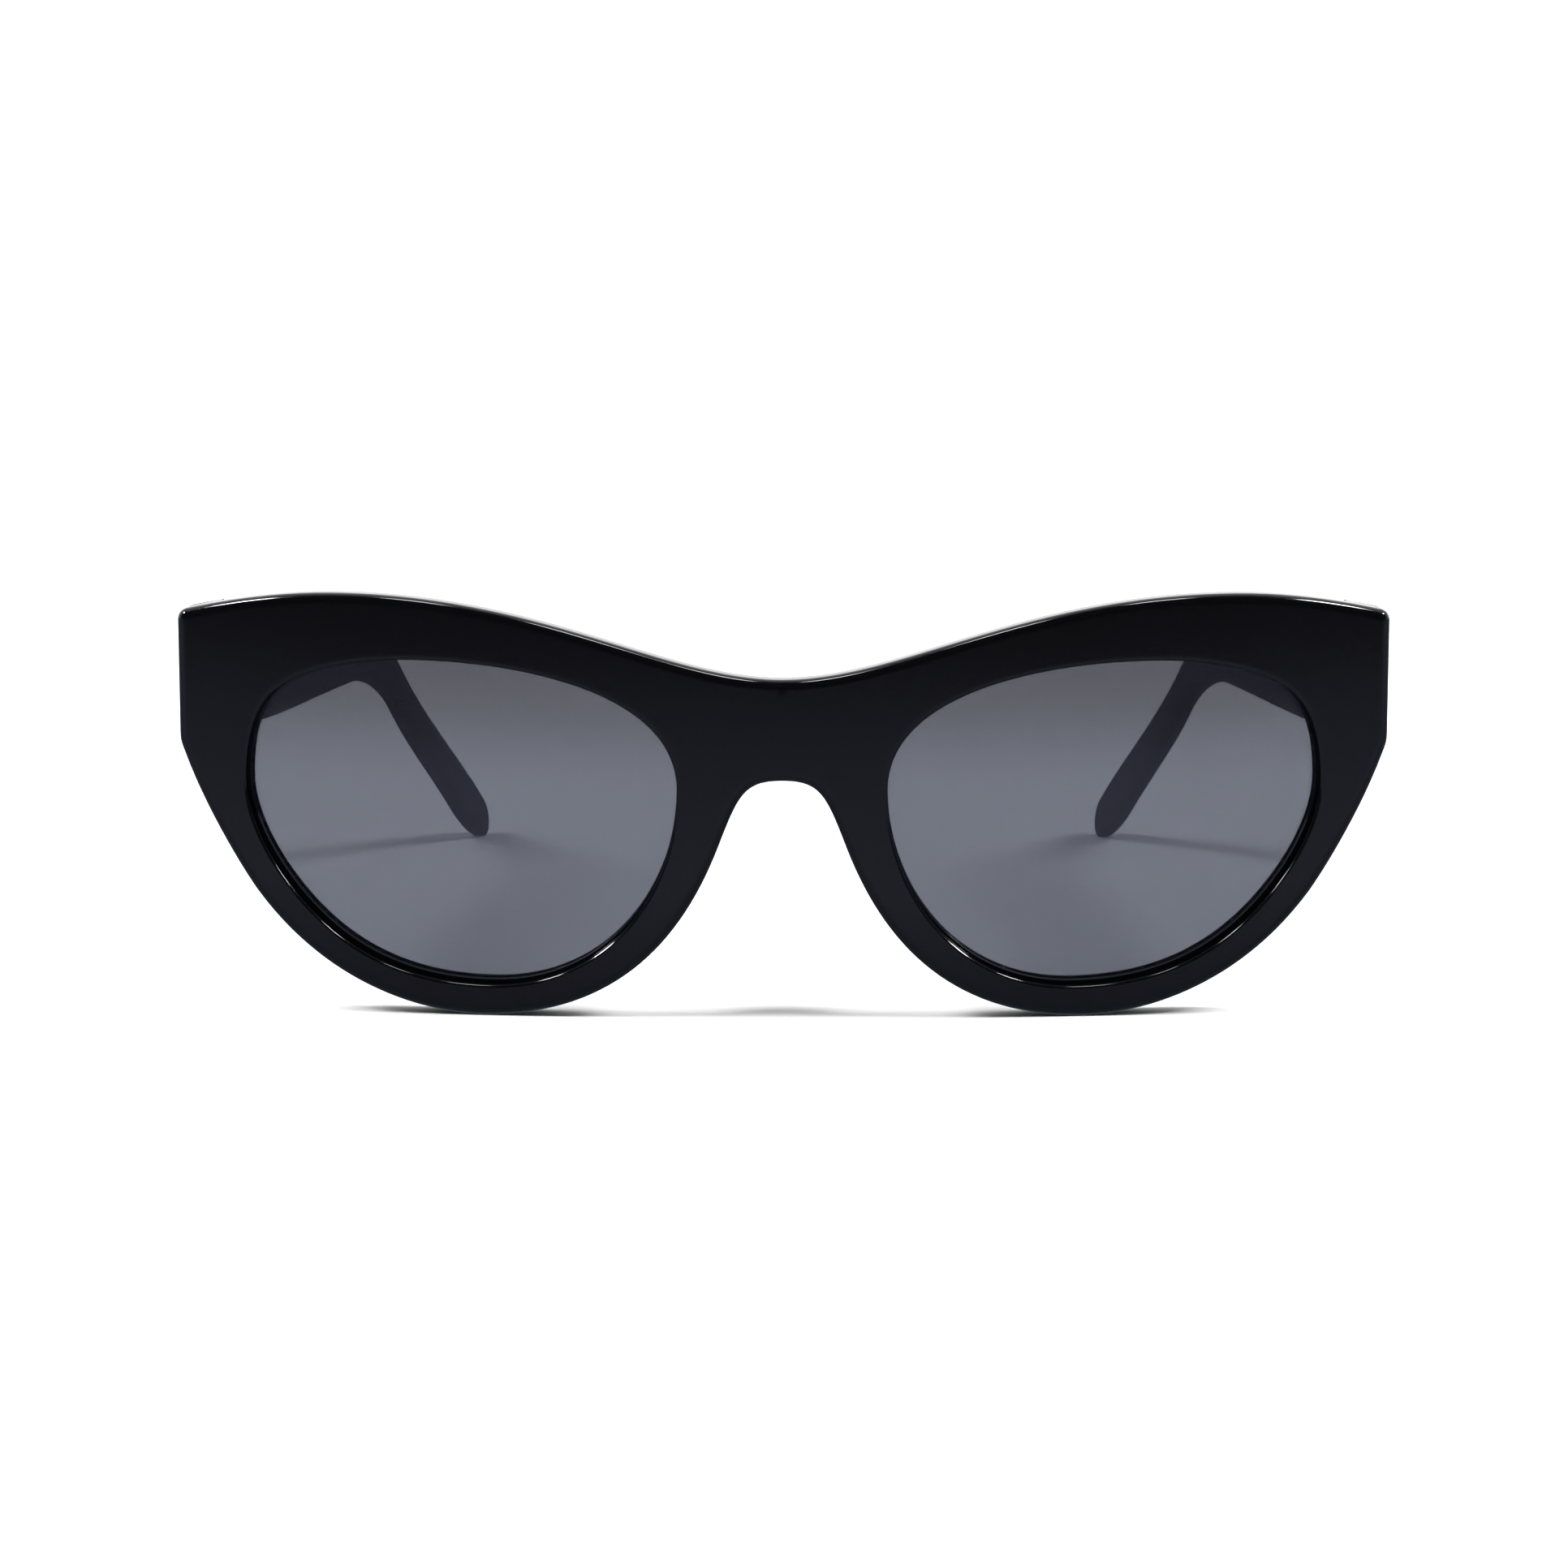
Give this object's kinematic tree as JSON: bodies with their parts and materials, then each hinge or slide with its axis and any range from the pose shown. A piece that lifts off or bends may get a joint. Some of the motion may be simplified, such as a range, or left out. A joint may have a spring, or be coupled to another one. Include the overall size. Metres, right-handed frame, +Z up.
{
  "type": "cat eye sunglasses",
  "caption": "Cat eye sunglasses with an upswept acetate front, grooved tinted lenses, glued nose pads and screw-hinged folding temples that hook behind the ears.",
  "frame": {"origin": "on the ground under the middle of the open sunglasses' bounding box", "axes": "+Z up, -Y the way the front faces, +Y along the open temples, +X towards the wearer's left"},
  "size_m": [0.142, 0.1497, 0.0493],
  "materials": {
    "black_acetate": "polished cellulose acetate",
    "smoke_lens": "neutral smoke tint, polished",
    "hinge_metal": "satin nickel silver",
    "bright_steel": "bright turned steel",
    "core_wire": "drawn wire"
  },
  "bodies": {
    "front": {"front_frame": "black_acetate", "lens_right": "smoke_lens", "lens_left": "smoke_lens", "nose_pad_right": "black_acetate", "nose_pad_left": "black_acetate", "front_hinge_right": "hinge_metal", "front_hinge_left": "hinge_metal", "front_hinge_rivets_right": "bright_steel", "front_hinge_rivets_left": "bright_steel", "hinge_screw_right": "bright_steel", "hinge_screw_left": "bright_steel"},
    "temple_right_arm": {"temple_hinge_right": "hinge_metal", "temple_hinge_rivets_right": "bright_steel", "temple_right": "black_acetate", "core_wire_right": "core_wire"},
    "temple_left_arm": {"temple_hinge_left": "hinge_metal", "temple_hinge_rivets_left": "bright_steel", "temple_left": "black_acetate", "core_wire_left": "core_wire"}
  },
  "joints": [
    {"name": "temple_right_fold", "type": "hinge", "parent": "front", "child": "temple_right_arm", "pos_m": [-0.0648, -0.0599, 0.041], "axis": [0, 0, -1], "range_deg": [0, 84]},
    {"name": "temple_left_fold", "type": "hinge", "parent": "front", "child": "temple_left_arm", "pos_m": [0.0648, -0.0599, 0.041], "axis": [0, 0, 1], "range_deg": [0, 74]}
  ]
}
